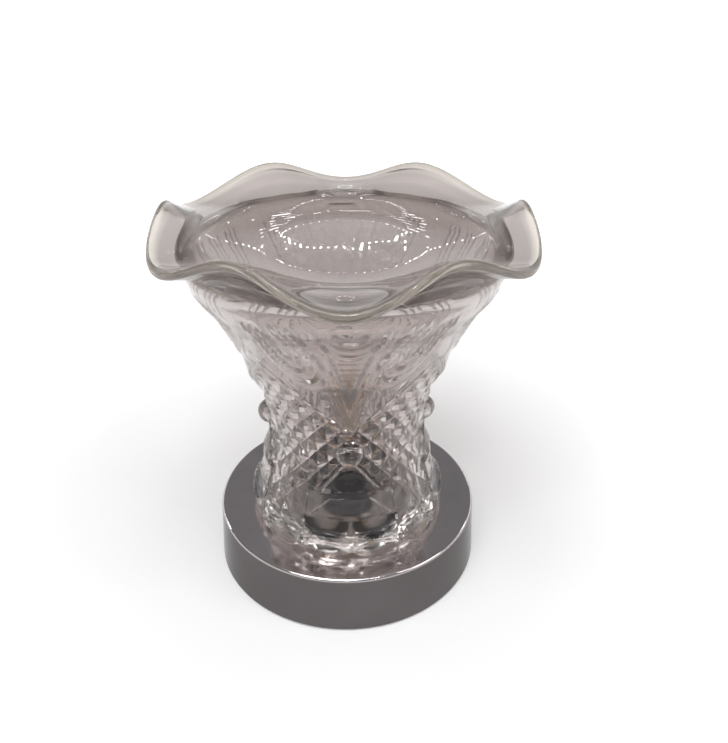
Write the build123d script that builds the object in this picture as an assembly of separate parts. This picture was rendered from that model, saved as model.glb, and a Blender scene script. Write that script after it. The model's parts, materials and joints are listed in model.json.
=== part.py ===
from build123d import *
import os
from math import cos, radians, sin

# Wax melt warmer: a chrome base with a touch dimmer and a small halogen bulb, a pressed glass shade
# standing on it, and a ruffled glass dish lying in the shade's mouth.
# Millimetres, +Z up, front towards -Y, origin on the table under the middle of the base.

# Base shell: spun steel cup, open below, with a pressed step that centres the shade
base_top_radius = 50.0
base_bottom_radius = 51.5
base_height = 23.4
shell_wall = 1.0
shell_edge_round = 1.2
shell_lift = 0.8
step_height = 2.2
step_play = 0.6

# Base plate, pillars and feet
plate_recess = 0.8
plate_thickness = 1.8
plate_play = 0.3
pillar_radius = 3.0
pillar_circle = 43.0
pillar_count = 3
pillar_start_angle = 30.0
feet_radius = 5.0
feet_circle = 40.0
feet_count = 4

# Glass shade, heights above its foot
shade_height = 103.6
shade_wall = 5.0
foot_radius = 36.4
belly_radius = 37.0
belly_height = 6.6
hip_radius = 33.0
hip_height = 18.5
waist_radius = 29.2
waist_height = 33.5
throat_radius = 33.4
throat_height = 57.5
flare_radius = 45.4
flare_height = 85.6
shoulder_radius = 51.4
shoulder_height = 94.4
rim_radius = 54.2
rim_wall = 4.6
rim_band = 3.6
rim_round = 1.4
shade_gap = 0.1

# Pressed pattern of the shade: four quarters, each with a bead and a panel of diamond points
quarters = 4
bead_radius = 4.7
bead_circle = 28.7
bead_height = 38.4
diamond_angle = 7.5
diamond_half_height = 4.4
diamond_relief = 1.5
diamond_rise = 0.3
panel_half_columns = 4
panel_top_row = 8
panel_bottom_row = -7
panel_margin = 1.4
petal_tip_radius = 33.2
petal_tip_height = 49.5
petal_merge_height = 70.0
petal_slope = 1.15
foot_arches = 12
foot_arch_rise = 3.0
foot_arch_width = 17.0

# Ruffled dish, resting on the shade's lip where its waves hang lowest
dish_waves = 6
dish_radius = 62.6
dish_depth = 9.7
dish_wave_height = 4.4
dish_wave_reach = 2.4
dish_wave_start = 43.5
dish_floor_radius = 24.0
dish_seat_gap = 0.3
dish_wall = 3.2
dish_rim_wall = 3.4
dish_ring_points = 48
dish_bowl_rings = 7

# Lamp holder
cup_radius = 10.4
cup_wall = 0.8
cup_height = 8.4
insert_radius = 9.3
insert_stand_out = 2.2
flange_radius = 8.5
flange_thickness = 1.2
stem_radius = 5.0
stem_bore_radius = 3.5
stem_drop = 11.0
stem_play = 0.2
lug_radius = 8.0
lug_thickness = 0.8
lug_tail = 12.5
lug_tail_width = 4.0
washer_radius = 9.0
washer_thickness = 1.0
nut_across_flats = 14.0
nut_height = 4.0
pin_pitch = 9.0
slot_length = 4.6
slot_width = 2.0
holder_screw_offset = 6.2
contact_thickness = 0.4

# Bulb
capsule_radius = 6.8
capsule_wall = 1.0
capsule_length = 34.0
pinch_width = 14.0
pinch_thickness = 4.4
pinch_height = 9.0
bulb_gap = 0.2
pin_wire_radius = 0.4
pin_loop_width = 3.0
pin_length = 6.0
filament_half_width = 2.4
filament_height = 22.0
filament_wire_radius = 0.35
filament_coil_radius = 0.75
filament_coil_length = 10.0

# Touch dimmer board
board_length = 36.0
board_width = 26.0
board_thickness = 1.6
board_x = -19.0
board_y = -14.0
board_lift = 5.0
board_corner_inset = 3.0
post_radius = 2.4
wire_radius = 0.6
wire_bend = 1.0
wire_rise = 2.3

# Cord entry at the rear
cord_height = 12.0
cord_bore_radius = 3.2
grommet_neck_radius = 5.0
grommet_flange_radius = 7.0
grommet_flange = 2.2
clamp_setback = 12.8
clamp_length = 20.0
clamp_width = 7.0
clamp_thickness = 1.6
clamp_screw_offset = 7.0
terminal_x = 13.0
terminal_y = 20.0
terminal_length = 17.0
terminal_width = 11.0
terminal_height = 10.0
terminal_pitch = 8.0

# Screws
screw_radius = 1.25
screw_head_radius = 2.3
screw_head_height = 1.3
screw_play = 0.1

# Heights worked out from the sizes above
plate_low = shell_lift + plate_recess
plate_top = plate_low + plate_thickness
shell_under = base_height - shell_wall
step_top = base_height + step_height
step_under = step_top - shell_wall
step_radius = foot_radius - shade_wall - step_play
cup_floor_top = step_top + cup_wall
flange_top = cup_floor_top + flange_thickness
cup_top = step_top + cup_height
insert_top = cup_top + insert_stand_out
stem_low = step_under - stem_drop
stem_hole_radius = stem_radius + stem_play
lug_low = step_under - lug_thickness
washer_low = lug_low - washer_thickness
nut_low = washer_low - nut_height
board_low = plate_top + board_lift
board_top = board_low + board_thickness
shade_foot = base_height + shade_gap
mouth_height = shade_foot + shade_height
bulb_low = insert_top + bulb_gap
pinch_top = bulb_low + pinch_height
contact_low = flange_top + 1.4


def rod(radius, low, high, x=0.0, y=0.0):
    """Upright round bar."""
    return Pos(x, y, (low + high) / 2) * Cylinder(radius, high - low)


def ring(outer, inner, low, high):
    """Upright tube on the axis."""
    return rod(outer, low, high) - rod(inner, low - 1, high + 1)


def block(length, width, low, high, x=0.0, y=0.0):
    """Upright rectangular block."""
    return Pos(x, y, (low + high) / 2) * Box(length, width, high - low)


def turned(points, rounds=0.0):
    """Solid turned about Z from a closed outline of (radius, height) points."""
    outline = FilletPolyline([(r, 0, z) for r, z in points], radius=rounds, close=True)
    return revolve(make_face(outline), Axis.Z)


def lead(points, radius, bend):
    """Round wire along straight runs joined by arcs."""
    path = FilletPolyline(points, radius=bend)
    start = Plane(origin=path @ 0, z_dir=path % 0)
    return sweep(start * Circle(radius), path=path)


def around(piece, count, start=0.0):
    """Copies of a piece evenly spaced about Z."""
    return [Rot(0, 0, start + 360 / count * k) * piece for k in range(count)]


def at(piece, places):
    """Copies of a piece moved to (x, y) places."""
    return [Pos(x, y, 0) * piece for x, y in places]


def shell_inner_radius(z):
    """Inside radius of the tapered wall at a height."""
    share = (z - shell_lift) / (base_height - shell_lift)
    return base_bottom_radius + (base_top_radius - base_bottom_radius) * share - shell_wall


clamp_y = shell_inner_radius(cord_height) - clamp_setback


# Base

def make_base_shell():
    inner_low = base_bottom_radius - shell_wall
    inner_high = shell_inner_radius(shell_under)
    step_inner = step_radius - shell_wall
    outline = [
        (base_bottom_radius, shell_lift),
        (base_top_radius, base_height),
        (step_radius, base_height),
        (step_radius, step_top),
        (stem_hole_radius, step_top),
        (stem_hole_radius, step_under),
        (step_inner, step_under),
        (step_inner, shell_under),
        (inner_high, shell_under),
        (inner_low, shell_lift),
    ]
    step_round = 0.4 * shell_wall
    rounds = [0, shell_edge_round, step_round, step_round, 0, 0, 0, 0, 0.3 * shell_edge_round, 0]
    entry = Pos(0, base_bottom_radius, cord_height) * Rot(90, 0, 0) * Cylinder(grommet_neck_radius, 12)
    return turned(outline, rounds) - entry


def pillar_places():
    angles = [radians(pillar_start_angle + 360 / pillar_count * k) for k in range(pillar_count)]
    return [(pillar_circle * cos(a), pillar_circle * sin(a)) for a in angles]


def board_corners():
    reach_x = board_length / 2 - board_corner_inset
    reach_y = board_width / 2 - board_corner_inset
    return [(board_x + i * reach_x, board_y + j * reach_y) for i in (-1, 1) for j in (-1, 1)]


def clamp_places():
    return [(-clamp_screw_offset, clamp_y), (clamp_screw_offset, clamp_y)]


def clamp_seat():
    """Height of the cord clamp's underside: half a cord above the middle of the entry."""
    return cord_height + cord_bore_radius - clamp_thickness


def make_base_plate():
    plate = rod(shell_inner_radius(plate_top) - plate_play, plate_low, plate_top)
    hole = rod(screw_radius + screw_play, plate_low - 1, plate_top + 1)
    plate -= at(hole, pillar_places())
    plate += at(rod(post_radius, plate_top, board_low), board_corners())
    plate += at(rod(post_radius + 0.8, plate_top, clamp_seat()), clamp_places())
    cord_rest = block(clamp_length - 4 * post_radius, clamp_width, plate_top, cord_height - cord_bore_radius, 0, clamp_y)
    plate += cord_rest
    pilot = rod(screw_radius, plate_top + 1, board_low + 1)
    plate -= at(pilot, board_corners())
    clamp_pilot = rod(screw_radius, plate_top + 1, clamp_seat() + 1)
    return plate - at(clamp_pilot, clamp_places())


def make_plate_pillars():
    pillar = rod(pillar_radius, plate_top, shell_under) - rod(screw_radius, plate_top - 1, plate_top + 9)
    return at(pillar, pillar_places())


def make_screw(head_under, tip, head_up=True):
    """Pan head screw, head above or below its seat."""
    way = 1 if head_up else -1
    head_end = head_under + way * screw_head_height
    head = rod(screw_head_radius, min(head_under, head_end), max(head_under, head_end))
    rim = head.edges().group_by(Axis.Z)[-1 if head_up else 0]
    head = fillet(rim, 0.6 * screw_head_height)
    return head + rod(screw_radius, min(head_under, tip), max(head_under, tip))


def make_plate_screws():
    return at(make_screw(plate_low, plate_top + 7, head_up=False), pillar_places())


def make_rubber_feet():
    pad = turned([(0, 0), (feet_radius - 0.5, 0), (feet_radius, 0.5), (feet_radius, plate_low), (0, plate_low)])
    return around(Pos(feet_circle, 0, 0) * pad, feet_count, 360 / feet_count / 2)


def make_cord_grommet(shell):
    wall = shell_inner_radius(cord_height)
    length = shell_wall + 2 * grommet_flange
    middle = Pos(0, wall + shell_wall / 2, cord_height) * Rot(90, 0, 0)
    bush = middle * Cylinder(grommet_flange_radius, length)
    bush = fillet(bush.edges().group_by(Axis.Y)[-1], 1.0)
    bush -= middle * Cylinder(cord_bore_radius, length + 2)
    return bush - shell


def make_cord_clamp():
    strap = block(clamp_length, clamp_width, clamp_seat(), clamp_seat() + clamp_thickness, 0, clamp_y)
    strap = fillet(strap.edges().filter_by(Axis.Z), 2.0)
    hole = rod(screw_radius + screw_play, clamp_seat() - 1, clamp_seat() + clamp_thickness + 1)
    ridge = Pos(0, clamp_y, clamp_seat() + 0.2) * Rot(90, 0, 0) * Cylinder(1.2, clamp_width)
    lower_half = block(4, clamp_width + 1, clamp_seat() - 4, clamp_seat(), 0, clamp_y)
    return strap + (ridge & lower_half) - at(hole, clamp_places())


def make_clamp_screws():
    return at(make_screw(clamp_seat() + clamp_thickness, plate_top + 1.5), clamp_places())


def terminal_places(y):
    return [(terminal_x + i * terminal_pitch / 2, y) for i in (-1, 1)]


def make_terminal_block():
    high = plate_top + terminal_height
    body = block(terminal_length, terminal_width, plate_top, high, terminal_x, terminal_y)
    body = fillet(body.edges().filter_by(Axis.Z), 0.8)
    groove = block(1.4, terminal_width + 1, high - 3, high + 1, terminal_x, terminal_y)
    body -= groove
    entry_height = plate_top + terminal_height / 2
    for x, y in terminal_places(terminal_y):
        body -= Pos(x, y, entry_height) * Rot(90, 0, 0) * Cylinder(1.6, terminal_width + 1)
        body -= rod(screw_head_radius + screw_play, entry_height, high + 1, x, y)
    return body


def make_terminal_screws():
    high = plate_top + terminal_height
    low = plate_top + terminal_height / 2 + wire_radius
    screw = rod(screw_head_radius, low, high - 1.2)
    slot = block(2 * screw_head_radius + 1, 0.8, high - 2, high)
    return at(screw - slot, terminal_places(terminal_y))


# Lamp holder

def make_lampholder_cup():
    outline = [
        (stem_hole_radius, step_top),
        (cup_radius - 1.0, step_top),
        (cup_radius, step_top + 1.0),
        (cup_radius, cup_top),
        (cup_radius - cup_wall, cup_top),
        (cup_radius - cup_wall, cup_floor_top),
        (stem_hole_radius, cup_floor_top),
    ]
    return turned(outline)


def make_lampholder_stem():
    body = ring(stem_radius, stem_bore_radius, stem_low, flange_top)
    body += ring(flange_radius, stem_bore_radius, cup_floor_top, flange_top)
    hole = rod(screw_radius + screw_play, cup_floor_top - 1, flange_top + 1)
    return body - at(hole, [(0, -holder_screw_offset), (0, holder_screw_offset)])


def make_lampholder_body():
    body = rod(insert_radius, flange_top, insert_top)
    body = chamfer(body.edges().group_by(Axis.Z)[-1], 0.8)
    slot = block(slot_length, slot_width, flange_top - 1, insert_top + 1)
    body -= at(slot, [(-pin_pitch / 2, 0), (pin_pitch / 2, 0)])
    body -= block(pin_pitch + slot_length, 2 * stem_bore_radius, flange_top - 1, contact_low + 1.6)
    hole = rod(screw_radius + screw_play, flange_top - 1, insert_top + 1)
    recess = rod(screw_head_radius + screw_play, insert_top - 2.2, insert_top + 1)
    return body - at(hole + recess, [(0, -holder_screw_offset), (0, holder_screw_offset)])


def make_lampholder_contacts():
    """Each strip lies on the slot's rear wall and turns in under the insert to meet its lead."""
    wall = slot_width / 2 - 0.05
    strip_length = slot_length - 0.6
    middle = pin_pitch / 2
    strip = block(strip_length, contact_thickness, contact_low, insert_top - 1.8, middle, wall - contact_thickness / 2)
    tab_inner = 1.0
    tab_outer = middle + strip_length / 2
    tab = block(tab_outer - tab_inner, wall + wire_radius, contact_low, contact_low + contact_thickness,
                (tab_inner + tab_outer) / 2, (wall - wire_radius) / 2)
    return around(strip + tab, 1) + [mirror(strip + tab, Plane.YZ)]


def make_lampholder_screws():
    tip = cup_floor_top + 0.1
    screw = make_screw(insert_top - 2.2, tip)
    return at(screw, [(0, -holder_screw_offset), (0, holder_screw_offset)])


def make_sensor_lug():
    lug = rod(lug_radius, lug_low, step_under)
    tail = block(lug_tail, lug_tail_width, lug_low, step_under, -lug_tail / 2, 0)
    lug += fillet(tail.edges().filter_by(Axis.Z).group_by(Axis.X)[0], 1.2)
    lug -= rod(stem_hole_radius, lug_low - 1, step_under + 1)
    return Rot(0, 0, lug_turn) * lug


def make_stem_washer():
    return ring(washer_radius, stem_hole_radius, washer_low, lug_low)


def make_stem_nut():
    nut = extrude(RegularPolygon(nut_across_flats / 2, 6, major_radius=False), nut_height)
    nut = Pos(0, 0, nut_low) * nut
    return nut - rod(stem_radius + 0.05, nut_low - 1, washer_low + 1)


# Bulb

def make_bulb_capsule():
    shoulder = pinch_top - 1.0
    dome_low = shoulder + capsule_length - capsule_radius
    inner = capsule_radius - capsule_wall
    outer_solid = rod(capsule_radius, shoulder, dome_low) + Pos(0, 0, dome_low) * Sphere(capsule_radius)
    hollow = rod(inner, pinch_top, dome_low) + Pos(0, 0, dome_low) * Sphere(inner)
    pinch = block(pinch_width, pinch_thickness, bulb_low, pinch_top)
    pinch = fillet(pinch.edges().filter_by(Axis.Z), 1.2)
    return outer_solid + pinch - hollow


def make_bulb_filament():
    """Hairpin support wire with a coil on each leg, shown as its outer round."""
    top = pinch_top + filament_height
    legs = [(-filament_half_width, 0, pinch_top), (-filament_half_width, 0, top),
            (filament_half_width, 0, top), (filament_half_width, 0, pinch_top)]
    wire = lead(legs, filament_wire_radius, 1.5)
    coil_high = top - 3.0
    coil = rod(filament_coil_radius, coil_high - filament_coil_length, coil_high)
    return wire + at(coil, [(-filament_half_width, 0), (filament_half_width, 0)])


def make_bulb_pins():
    half = pin_loop_width / 2
    low = bulb_low - pin_length
    loop = lead([(-half, 0, bulb_low), (-half, 0, low), (half, 0, low), (half, 0, bulb_low)], pin_wire_radius, 1.1)
    return at(loop, [(-pin_pitch / 2, 0), (pin_pitch / 2, 0)])


# Touch dimmer

lug_turn = 25.0
sensor_pad_x = -(lug_tail - 1.8) * cos(radians(lug_turn))
sensor_pad_y = -(lug_tail - 1.8) * sin(radians(lug_turn))
lamp_pad_x = board_x + board_length / 2 - 4.0
lamp_pads_y = (board_y + 5.5, board_y + 2.0)
mains_pads_y = (board_y - 1.5, board_y - 5.0)
mains_lead_height = plate_top + terminal_height / 2


def make_control_board():
    board = block(board_length, board_width, board_low, board_top, board_x, board_y)
    board = fillet(board.edges().filter_by(Axis.Z), 1.5)
    return board - at(rod(screw_radius + screw_play, board_low - 1, board_top + 1), board_corners())


def make_board_screws():
    return at(make_screw(board_top, plate_top + 1.5), board_corners())


def make_control_chip():
    body = block(9.6, 6.4, board_top + 0.5, board_top + 3.8, board_x - 4, board_y - 5)
    body = chamfer(body.edges().group_by(Axis.Z)[-1], 0.4)
    leg = block(0.6, 0.9, board_top, board_top + 2.2)
    places = [(board_x - 4 + 2.54 * (k - 1.5), board_y - 5 + side * 3.5) for k in range(4) for side in (-1, 1)]
    return body + at(leg, places)


def make_triac():
    body = block(8.0, 3.0, board_top + 1.5, board_top + 11, board_x - 8, board_y + 9)
    body -= Pos(board_x - 8, board_y + 9, board_top + 8.6) * Rot(90, 0, 0) * Cylinder(1.5, 4)
    leg = block(0.8, 0.6, board_top, board_top + 2)
    return body + at(leg, [(board_x - 8 + 2.3 * k, board_y + 9) for k in (-1, 0, 1)])


def make_film_capacitor():
    body = block(11.0, 5.0, board_top, board_top + 9, board_x + 7, board_y - 9)
    return fillet(body.edges().filter_by(Axis.Z) + body.edges().group_by(Axis.Z)[-1], 0.6)


def make_can_capacitor():
    height = board_top + 9
    outline = [(0, board_top), (3.2, board_top), (3.2, board_top + 1.0), (2.9, board_top + 1.4),
               (3.2, board_top + 1.8), (3.2, height), (0, height)]
    return Pos(board_x - 13, board_y - 2, 0) * turned(outline, [0, 0, 0, 0, 0, 0.6, 0])


def make_resistors():
    """Axial resistors with swelled ends, lying on bent legs."""
    middle = board_top + 1.5
    legs = lead([(-4.5, 0, board_top), (-4.5, 0, middle), (4.5, 0, middle), (4.5, 0, board_top)], 0.3, 0.7)
    barrel = Pos(0, 0, middle) * Rot(0, 90, 0) * Cylinder(1.0, 6.4)
    ends = [Pos(2.4 * side, 0, middle) * Rot(0, 90, 0) * Cylinder(1.25, 1.6) for side in (-1, 1)]
    resistor = legs + barrel + ends
    return at(resistor, [(board_x + 3, board_y + 2 + 3.2 * k) for k in range(3)])


def make_sensor_lead():
    return rod(wire_radius, board_top, lug_low, sensor_pad_x, sensor_pad_y)


def make_lamp_leads():
    leads = []
    for y, x_end in zip(lamp_pads_y, (-1.6, 1.6)):
        run = board_top + wire_rise
        route = [(lamp_pad_x, y, board_top), (lamp_pad_x, y, run), (x_end, 0, run), (x_end, 0, contact_low)]
        leads.append(lead(route, wire_radius, wire_bend))
    return leads


def make_mains_leads():
    leads = []
    places = terminal_places(terminal_y - terminal_width / 2)
    for y, (x, y_start), turn in zip(mains_pads_y, places, (5.0, 11.0)):
        run = board_top + wire_rise
        route = [(x, y_start + 3, mains_lead_height), (x, 4.0 - turn, mains_lead_height),
                 (turn, y, run), (lamp_pad_x, y, run), (lamp_pad_x, y, board_top)]
        leads.append(lead(route, wire_radius, wire_bend))
    return leads


# Glass shade

def shade_knots(inset=0.0):
    """Radius and height of the shade's outer line, less an inset."""
    knots = [
        (foot_radius, 0.0),
        (belly_radius, belly_height),
        (hip_radius, hip_height),
        (waist_radius, waist_height),
        (throat_radius, throat_height),
        (flare_radius, flare_height),
        (shoulder_radius, shoulder_height),
        (rim_radius, shade_height - rim_band),
    ]
    return [(r - inset, 0, shade_foot + h) for r, h in knots]


def make_shade_body():
    """Plain glass of revolution: outer line, straight rim band, and the inner line one wall in."""
    outer = Spline(shade_knots())
    inner_knots = shade_knots(shade_wall)
    band_low = mouth_height - rim_band
    inner_knots[-1] = (rim_radius - rim_wall, 0, band_low)
    inner = Spline(inner_knots)
    edge = Polyline(outer @ 1, (rim_radius, 0, mouth_height), (rim_radius - rim_wall, 0, mouth_height), inner @ 1)
    foot = Line(outer @ 0, inner @ 0)
    body = revolve(make_face([outer, edge, inner, foot]), Axis.Z)
    lip = body.edges().filter_by(GeomType.CIRCLE).group_by(Axis.Z)[-1]
    return fillet(lip, rim_round)


def ground_radius(ground, z):
    """Radius of the recessed ground line at a height, found by halving."""
    low, high = 0.0, 1.0
    for _ in range(40):
        middle = (low + high) / 2
        if (ground @ middle).Z < z:
            low = middle
        else:
            high = middle
    return (ground @ low).X


def row_height(row):
    return shade_foot + bead_height + row * diamond_half_height


def panel_diamonds():
    """Column and row of each diamond: a lozenge between two beads, with a stem down to the foot."""
    cells = []
    for column in range(-panel_half_columns, panel_half_columns + 1):
        reach = abs(column)
        low = reach - panel_half_columns if reach > 1 else panel_bottom_row
        high = panel_top_row - reach
        cells += [(column, row) for row in range(low, high + 1) if (column + row) % 2 == 0]
    return cells


def make_panel_recess(ground):
    """Space taken out of the plain glass for one panel, centred on +X."""
    rim = panel_half_columns + 1
    side = radians(rim * diamond_angle) + panel_margin / waist_radius
    stem = radians(2 * diamond_angle)
    top = row_height(panel_top_row + 1) + panel_margin
    upper = row_height(panel_top_row - panel_half_columns) + panel_margin
    lower = row_height(0) - panel_margin
    notch = row_height(1 - panel_half_columns)
    foot = row_height(panel_bottom_row - 1)
    right = [
        (waist_radius * sin(side), upper),
        (waist_radius * sin(side), lower),
        (ground_radius(ground, notch) * sin(stem) + panel_margin, notch - panel_margin),
        (belly_radius * sin(stem) + panel_margin, foot),
    ]
    left = [(-y, z) for y, z in reversed(right)]
    face = make_face(Polyline([(0, y, z) for y, z in [(0, top)] + right + left], close=True))
    prism = extrude(face, 2 * rim_radius, dir=(1, 0, 0))
    outside = Polyline(ground @ 1, (2 * rim_radius, 0, (ground @ 1).Z), (2 * rim_radius, 0, (ground @ 0).Z), ground @ 0)
    return prism & revolve(make_face([ground, outside]), Axis.Z)


def make_diamond_sheet(ground):
    """One panel's diamond points as a closed faceted sheet, its back sunk into the ground."""
    above = 0.15
    sink = Vector(-1.0, 0, 0)
    radii = {row: ground_radius(ground, row_height(row)) for row in range(panel_bottom_row - 1, panel_top_row + 2)}

    def point(column, row, rise):
        angle = radians(column * diamond_angle)
        radius = radii[row] + rise
        return Vector(radius * cos(angle), radius * sin(angle), row_height(row))

    def patch(*corners):
        return Face(Wire.make_polygon(corners, close=True))

    faces = []
    sides = {}
    for column, row in panel_diamonds():
        apex = point(column, row, diamond_relief + diamond_rise)
        cells = [(column - 1, row), (column, row - 1), (column + 1, row), (column, row + 1)]
        corners = [point(c, r, above) for c, r in cells]
        sunk = [corner + sink for corner in corners]
        for k in range(4):
            n = (k + 1) % 4
            faces.append(patch(corners[k], corners[n], apex))
            sides.setdefault(frozenset((cells[k], cells[n])), []).append((corners[k], corners[n]))
        faces.append(patch(sunk[0], sunk[1], sunk[3]))
        faces.append(patch(sunk[1], sunk[2], sunk[3]))
    for pair in sides.values():
        if len(pair) == 1:
            a, b = pair[0]
            faces.append(patch(a, b, b + sink, a + sink))
    return Solid(Shell(faces))


def make_petal():
    """Plain V-shaped plate that stands proud above a bead and dies into the flare, centred on +X."""
    tip = shade_foot + petal_tip_height
    merge = shade_foot + petal_merge_height
    merge_radius = ground_radius(Spline(shade_knots()), merge) - 0.3
    plate = turned([
        (petal_tip_radius - shade_wall, tip),
        (petal_tip_radius, tip),
        (merge_radius, merge),
        (merge_radius - shade_wall / 2, merge),
    ])
    half_width = (merge - tip) / petal_slope
    wedge = make_face(Polyline((0, 0, tip), (0, half_width, merge), (0, -half_width, merge), close=True))
    return plate & extrude(wedge, 2 * rim_radius, dir=(1, 0, 0))


def make_glass_shade():
    ground = Spline(shade_knots(diamond_relief))
    body = make_shade_body()
    half_turn = 180 / quarters
    body -= around(make_panel_recess(ground), quarters, half_turn)
    body += around(make_petal(), quarters)
    bead = Pos(bead_circle, 0, shade_foot + bead_height) * Rot(0, 90, 0) * Sphere(bead_radius)
    body += around(bead, quarters)
    body += around(make_diamond_sheet(ground), quarters, half_turn)
    arch_radius = foot_arch_width ** 2 / (8 * foot_arch_rise) + foot_arch_rise / 2
    arch_middle = shade_foot + foot_arch_rise - arch_radius
    arch = Pos(foot_radius, 0, arch_middle) * Rot(0, 90, 0) * Cylinder(arch_radius, 4 * shade_wall)
    return body - around(arch, foot_arches, 180 / foot_arches)


# Ruffled dish

def dish_ring(radius, height, share):
    """One closed ring of the dish: round at share 0, fully waved at share 1, low at the front."""
    points = []
    for k in range(dish_ring_points):
        angle = 360 / dish_ring_points * k
        wave = share * cos(radians(dish_waves * (angle + 90)))
        reach = radius + dish_wave_reach * wave
        points.append((reach * cos(radians(angle)), reach * sin(radians(angle)), height - dish_wave_height * wave))
    return Wire([Spline(points, periodic=True)])


def wave_share(radius):
    """How much of the wave a radius has: none inside the wave start, all at the rim."""
    t = (radius - dish_wave_start) / (dish_radius - dish_wave_start)
    t = min(max(t, 0.0), 1.0)
    return t * t * (3 - 2 * t)


def bowl_rise(radius):
    """Height of the dish's top line above its floor: flat at the floor, steepening to the rim."""
    share = (radius - dish_floor_radius) / (dish_radius - dish_floor_radius)
    return dish_depth * share ** 2 * (1.3 - 0.3 * share)


def dish_floor():
    """Height of the floor's top face, set so that the waves hang just clear of the middle of the shade's lip."""
    lip = rim_radius - rim_wall / 2
    seat = lip - dish_wave_reach * wave_share(lip)
    return mouth_height + dish_seat_gap + dish_wall + dish_wave_height * wave_share(seat) - bowl_rise(seat)


def make_glass_dish():
    """Loft of rings over the top, round the rim and back under, capped by the flat floor."""
    floor = dish_floor()
    step = (dish_radius - dish_floor_radius) / dish_bowl_rings
    radii = [dish_floor_radius + k * step for k in range(dish_bowl_rings)]
    top = [(r, floor + bowl_rise(r)) for r in radii]
    rings = [dish_ring(r, z, wave_share(r)) for r, z in top]
    rim = floor + dish_depth
    lip = dish_rim_wall / 2
    rings.append(dish_ring(dish_radius - 0.8 * lip, rim - 0.1 * lip, 1.0))
    rings.append(dish_ring(dish_radius, rim - 0.9 * lip, 1.0))
    rings.append(dish_ring(dish_radius - 0.8 * lip, rim - 1.9 * lip, 1.0))
    rings += [dish_ring(r, z - dish_wall, wave_share(r)) for r, z in reversed(top)]
    return Solid.make_loft(rings)


def main():
    os.makedirs("parts", exist_ok=True)
    shell = make_base_shell()
    pieces = {
        "base_shell": shell,
        "base_plate": make_base_plate(),
        "plate_pillars": make_plate_pillars(),
        "plate_screws": make_plate_screws(),
        "rubber_feet": make_rubber_feet(),
        "cord_grommet": make_cord_grommet(shell),
        "cord_clamp": make_cord_clamp(),
        "clamp_screws": make_clamp_screws(),
        "terminal_block": make_terminal_block(),
        "terminal_screws": make_terminal_screws(),
        "lampholder_cup": make_lampholder_cup(),
        "lampholder_stem": make_lampholder_stem(),
        "lampholder_body": make_lampholder_body(),
        "lampholder_contacts": make_lampholder_contacts(),
        "lampholder_screws": make_lampholder_screws(),
        "sensor_lug": make_sensor_lug(),
        "stem_washer": make_stem_washer(),
        "stem_nut": make_stem_nut(),
        "bulb_capsule": make_bulb_capsule(),
        "bulb_filament": make_bulb_filament(),
        "bulb_pins": make_bulb_pins(),
        "control_board": make_control_board(),
        "board_screws": make_board_screws(),
        "control_chip": make_control_chip(),
        "triac": make_triac(),
        "film_capacitor": make_film_capacitor(),
        "can_capacitor": make_can_capacitor(),
        "resistors": make_resistors(),
        "sensor_lead": make_sensor_lead(),
        "lamp_leads": make_lamp_leads(),
        "mains_leads": make_mains_leads(),
        "glass_shade": make_glass_shade(),
        "glass_dish": make_glass_dish(),
    }
    for name, piece in pieces.items():
        solids = piece if isinstance(piece, list) else [piece]
        export_step(Compound(solids), f"parts/{name}.step")


main()
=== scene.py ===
import json
from functools import lru_cache
from math import asin, atan2, cos, hypot, pi, radians, sin

import bmesh
import bpy
from mathutils import Matrix, Vector


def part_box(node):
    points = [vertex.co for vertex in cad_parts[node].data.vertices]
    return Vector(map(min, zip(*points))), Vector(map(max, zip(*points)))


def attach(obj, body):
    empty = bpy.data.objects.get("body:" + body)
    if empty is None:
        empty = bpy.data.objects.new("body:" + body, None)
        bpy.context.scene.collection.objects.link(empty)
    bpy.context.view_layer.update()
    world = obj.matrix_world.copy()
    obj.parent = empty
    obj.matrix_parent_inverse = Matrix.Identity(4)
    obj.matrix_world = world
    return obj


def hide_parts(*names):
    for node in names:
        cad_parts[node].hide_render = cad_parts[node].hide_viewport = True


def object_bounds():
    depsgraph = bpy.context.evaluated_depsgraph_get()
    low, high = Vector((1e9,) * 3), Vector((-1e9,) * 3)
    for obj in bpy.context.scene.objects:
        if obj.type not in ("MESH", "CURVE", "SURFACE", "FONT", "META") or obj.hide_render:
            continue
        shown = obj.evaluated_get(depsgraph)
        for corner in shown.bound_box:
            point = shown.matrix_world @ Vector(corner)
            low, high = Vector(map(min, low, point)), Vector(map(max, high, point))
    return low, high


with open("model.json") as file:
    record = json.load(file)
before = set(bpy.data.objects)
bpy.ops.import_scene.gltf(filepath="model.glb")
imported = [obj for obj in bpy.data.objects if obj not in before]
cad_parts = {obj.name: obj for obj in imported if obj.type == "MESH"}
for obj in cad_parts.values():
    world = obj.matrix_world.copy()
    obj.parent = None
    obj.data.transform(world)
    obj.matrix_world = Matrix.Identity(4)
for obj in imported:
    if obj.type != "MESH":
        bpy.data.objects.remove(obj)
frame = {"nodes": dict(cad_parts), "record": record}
cad_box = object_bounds()

# Wax melt warmer: the finish of every piece, and the two glass pieces as modelled meshes.
# Glass is worked out in millimetres and scaled to metres at the end.
# Finishes, light and camera are in metres.
mm = 0.001
shade_low, shade_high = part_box("glass_shade")
foot_z = shade_low.z / mm
mouth_z = shade_high.z / mm
rim_radius = shade_high.x / mm
weld_distance = 0.0005

# Shade: points of its outer line as (height above the foot, radius), its walls and its mesh
shade_line = [(0.0, 36.4), (6.6, 37.0), (18.5, 33.0), (33.5, 29.2), (57.5, 33.4), (85.6, 45.4), (94.6, 51.6),
              (99.6, rim_radius - 0.3), (mouth_z - foot_z, rim_radius)]
shade_wall = 5.0
rim_wall = 4.6
rim_wall_length = 12.0
rim_round = 2.2
rim_steps = 6
inner_rows = 48
outside_slack = 0.01
shade_crease = 24
pattern_top = mouth_z - 5.0

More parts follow.
